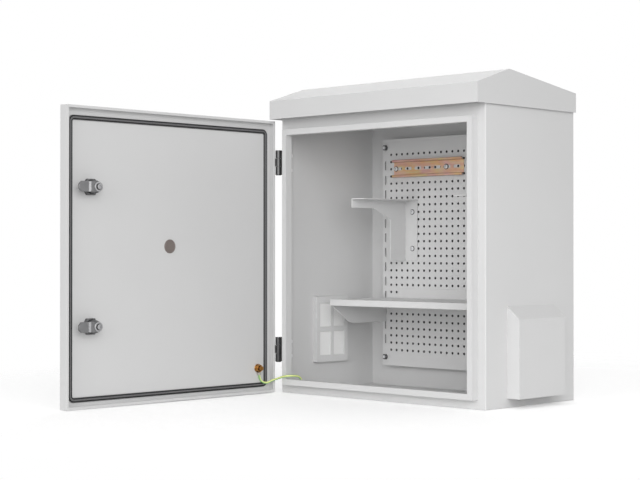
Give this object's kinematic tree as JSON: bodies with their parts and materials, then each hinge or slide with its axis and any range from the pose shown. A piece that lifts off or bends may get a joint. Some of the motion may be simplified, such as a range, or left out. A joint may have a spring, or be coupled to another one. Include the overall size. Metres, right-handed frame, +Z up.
{
  "type": "wall-mount rack cabinet",
  "caption": "Outdoor wall cabinet with a pitched roof, a gasketed hinged door, side vent hoods and a perforated panel with rail, brackets and shelf.",
  "frame": {"origin": "middle of the four wall bolt holes, on the plane of the wall", "axes": "+Z up, -Y out of the wall towards the person at the door, +X to that person's right"},
  "size_m": [0.5545, 0.761, 0.5875],
  "materials": {
    "painted_shell": "satin powder coat",
    "painted_inside": "satin powder coat",
    "yellow_zinc": "yellow passivated zinc plate",
    "bright_zinc": "zinc plate",
    "dark_zinc": "dark zinc casting",
    "black_hinge": "black powder coat",
    "gasket_rubber": "foam rubber",
    "wire_cover": "soft plastic",
    "brown_plug": "moulded",
    "frame_plastic": "moulded",
    "filter_fleece": "loose fleece"
  },
  "bodies": {
    "cabinet": {"bracket_left": "painted_inside", "bracket_right": "painted_inside", "bracket_screw_left_lower": "bright_zinc", "bracket_screw_left_upper": "bright_zinc", "bracket_screw_right_lower": "bright_zinc", "bracket_screw_right_upper": "bright_zinc", "cabinet_body": "painted_shell", "din_rail": "yellow_zinc", "earth_nut_body": "yellow_zinc", "earth_wire": "wire_cover", "filter_frame_left": "frame_plastic", "filter_frame_right": "frame_plastic", "filter_mat_left": "filter_fleece", "filter_mat_right": "filter_fleece", "hinge_lower_body_leaf": "black_hinge", "hinge_lower_nut_bottom": "bright_zinc", "hinge_lower_nut_top": "bright_zinc", "hinge_lower_pin": "black_hinge", "hinge_lower_screw_bottom": "bright_zinc", "hinge_lower_screw_top": "bright_zinc", "hinge_upper_body_leaf": "black_hinge", "hinge_upper_nut_bottom": "bright_zinc", "hinge_upper_nut_top": "bright_zinc", "hinge_upper_pin": "black_hinge", "hinge_upper_screw_bottom": "bright_zinc", "hinge_upper_screw_top": "bright_zinc", "mounting_panel": "painted_inside", "panel_nut_left_lower": "bright_zinc", "panel_nut_left_upper": "bright_zinc", "panel_nut_right_lower": "bright_zinc", "panel_nut_right_upper": "bright_zinc", "rail_screw_left": "bright_zinc", "rail_screw_right": "bright_zinc", "roof_bolt_back_left": "bright_zinc", "roof_bolt_back_right": "bright_zinc", "roof_bolt_front_left": "bright_zinc", "roof_bolt_front_right": "bright_zinc", "roof_canopy": "painted_shell", "shelf": "painted_inside", "vent_hood_left": "painted_shell", "vent_hood_right": "painted_shell", "wire_lug_body": "bright_zinc"},
    "door": {"door_gasket": "gasket_rubber", "door_liner": "painted_inside", "door_plug": "brown_plug", "door_shell": "painted_shell", "earth_nut_door": "yellow_zinc", "hinge_lower_door_leaf": "black_hinge", "hinge_upper_door_leaf": "black_hinge", "lock_lower_housing": "dark_zinc", "lock_lower_nut": "dark_zinc", "lock_upper_housing": "dark_zinc", "lock_upper_nut": "dark_zinc", "wire_lug_door": "bright_zinc"},
    "lock_upper": {"lock_upper_cam": "dark_zinc", "lock_upper_spindle": "dark_zinc", "lock_upper_screw": "dark_zinc"},
    "lock_lower": {"lock_lower_cam": "dark_zinc", "lock_lower_spindle": "dark_zinc", "lock_lower_screw": "dark_zinc"}
  },
  "joints": [
    {"name": "door_hinge", "type": "hinge", "parent": "cabinet", "child": "door", "pos_m": [-0.252, -0.265, -0.0155], "axis": [0, 0, 1], "range_deg": [-30, 90], "deforming": ["earth_wire"]},
    {"name": "lock_upper_turn", "type": "hinge", "parent": "door", "child": "lock_upper", "pos_m": [-0.2654, -0.705, 0.104], "axis": [1, 0, 0], "range_deg": [0, 90]},
    {"name": "lock_lower_turn", "type": "hinge", "parent": "door", "child": "lock_lower", "pos_m": [-0.2654, -0.705, -0.1365], "axis": [1, 0, 0], "range_deg": [0, 90]}
  ]
}
